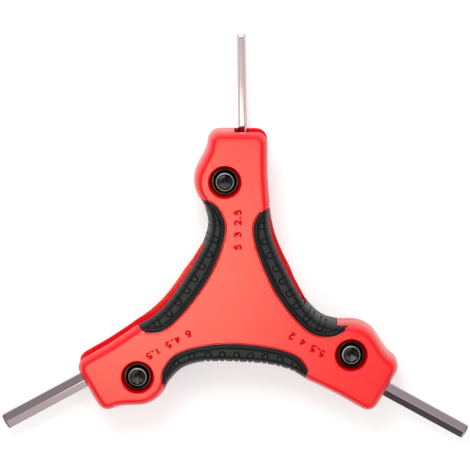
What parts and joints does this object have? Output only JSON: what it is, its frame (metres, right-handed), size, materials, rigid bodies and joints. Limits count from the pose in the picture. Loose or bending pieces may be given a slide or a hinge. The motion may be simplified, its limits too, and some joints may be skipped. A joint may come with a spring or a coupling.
{
  "type": "folding hex key set",
  "caption": "Three-armed handle with hex keys that fold out of the end of each arm.",
  "frame": {"origin": "centre of the three arms, on the rear face", "axes": "+Z from the rear face to the front face, +Y out along the top arm, +X to its right seen from the front"},
  "size_m": [0.1804, 0.1563, 0.026],
  "materials": {
    "red_plastic": "moulded nylon, satin",
    "black_rubber": "soft black rubber, matte",
    "black_steel": "blackened steel",
    "bright_steel": "nickel plated tool steel",
    "zinc_steel": "zinc plated steel"
  },
  "bodies": {
    "handle": {"front_shell": "red_plastic", "rear_shell": "red_plastic", "front_grip_right": "black_rubber", "front_grip_left": "black_rubber", "front_grip_bottom": "black_rubber", "rear_grip_right": "black_rubber", "rear_grip_left": "black_rubber", "rear_grip_bottom": "black_rubber", "pivot_screw_top": "black_steel", "pivot_screw_left": "black_steel", "pivot_screw_right": "black_steel", "sleeve_nut_top": "black_steel", "sleeve_nut_left": "black_steel", "sleeve_nut_right": "black_steel", "washer_top_1": "zinc_steel", "washer_top_2": "zinc_steel", "washer_top_3": "zinc_steel", "washer_top_4": "zinc_steel", "washer_left_1": "zinc_steel", "washer_left_2": "zinc_steel", "washer_left_3": "zinc_steel", "washer_left_4": "zinc_steel", "washer_right_1": "zinc_steel", "washer_right_2": "zinc_steel", "washer_right_3": "zinc_steel", "washer_right_4": "zinc_steel"},
    "key_3mm": {"hex_key_3mm": "bright_steel", "bush_3mm": "zinc_steel"},
    "key_5mm": {"hex_key_5mm": "bright_steel", "bush_5mm": "zinc_steel"},
    "key_2_5mm": {"hex_key_2_5mm": "bright_steel", "bush_2_5mm": "zinc_steel"},
    "key_6mm": {"hex_key_6mm": "bright_steel", "bush_6mm": "zinc_steel"},
    "key_4_5mm": {"hex_key_4_5mm": "bright_steel", "bush_4_5mm": "zinc_steel"},
    "key_1_5mm": {"hex_key_1_5mm": "bright_steel", "bush_1_5mm": "zinc_steel"},
    "key_5_5mm": {"hex_key_5_5mm": "bright_steel", "bush_5_5mm": "zinc_steel"},
    "key_4mm": {"hex_key_4mm": "bright_steel", "bush_4mm": "zinc_steel"},
    "key_2mm": {"hex_key_2mm": "bright_steel", "bush_2mm": "zinc_steel"}
  },
  "joints": [
    {"name": "swing_3mm", "type": "hinge", "parent": "handle", "child": "key_3mm", "pos_m": [-0.00495, 0.04719, 0.013], "axis": [0, 0, -1], "range_deg": [0, 147.8]},
    {"name": "swing_5mm", "type": "hinge", "parent": "handle", "child": "key_5mm", "pos_m": [-0.00495, 0.04719, 0.013], "axis": [0, 0, 1], "range_deg": [0, 147]},
    {"name": "swing_2_5mm", "type": "hinge", "parent": "handle", "child": "key_2_5mm", "pos_m": [-0.00495, 0.04719, 0.013], "axis": [0, 0, 1], "range_deg": [0, 147]},
    {"name": "swing_6mm", "type": "hinge", "parent": "handle", "child": "key_6mm", "pos_m": [-0.03839, -0.02788, 0.013], "axis": [0, 0, -1], "range_deg": [-1.6, 145.4]},
    {"name": "swing_4_5mm", "type": "hinge", "parent": "handle", "child": "key_4_5mm", "pos_m": [-0.03839, -0.02788, 0.013], "axis": [0, 0, 1], "range_deg": [0, 147]},
    {"name": "swing_1_5mm", "type": "hinge", "parent": "handle", "child": "key_1_5mm", "pos_m": [-0.03839, -0.02788, 0.013], "axis": [0, 0, 1], "range_deg": [0, 147]},
    {"name": "swing_5_5mm", "type": "hinge", "parent": "handle", "child": "key_5_5mm", "pos_m": [0.04334, -0.01931, 0.013], "axis": [0, 0, -1], "range_deg": [0, 148.2]},
    {"name": "swing_4mm", "type": "hinge", "parent": "handle", "child": "key_4mm", "pos_m": [0.04334, -0.01931, 0.013], "axis": [0, 0, 1], "range_deg": [0, 147]},
    {"name": "swing_2mm", "type": "hinge", "parent": "handle", "child": "key_2mm", "pos_m": [0.04334, -0.01931, 0.013], "axis": [0, 0, 1], "range_deg": [0, 147]}
  ]
}
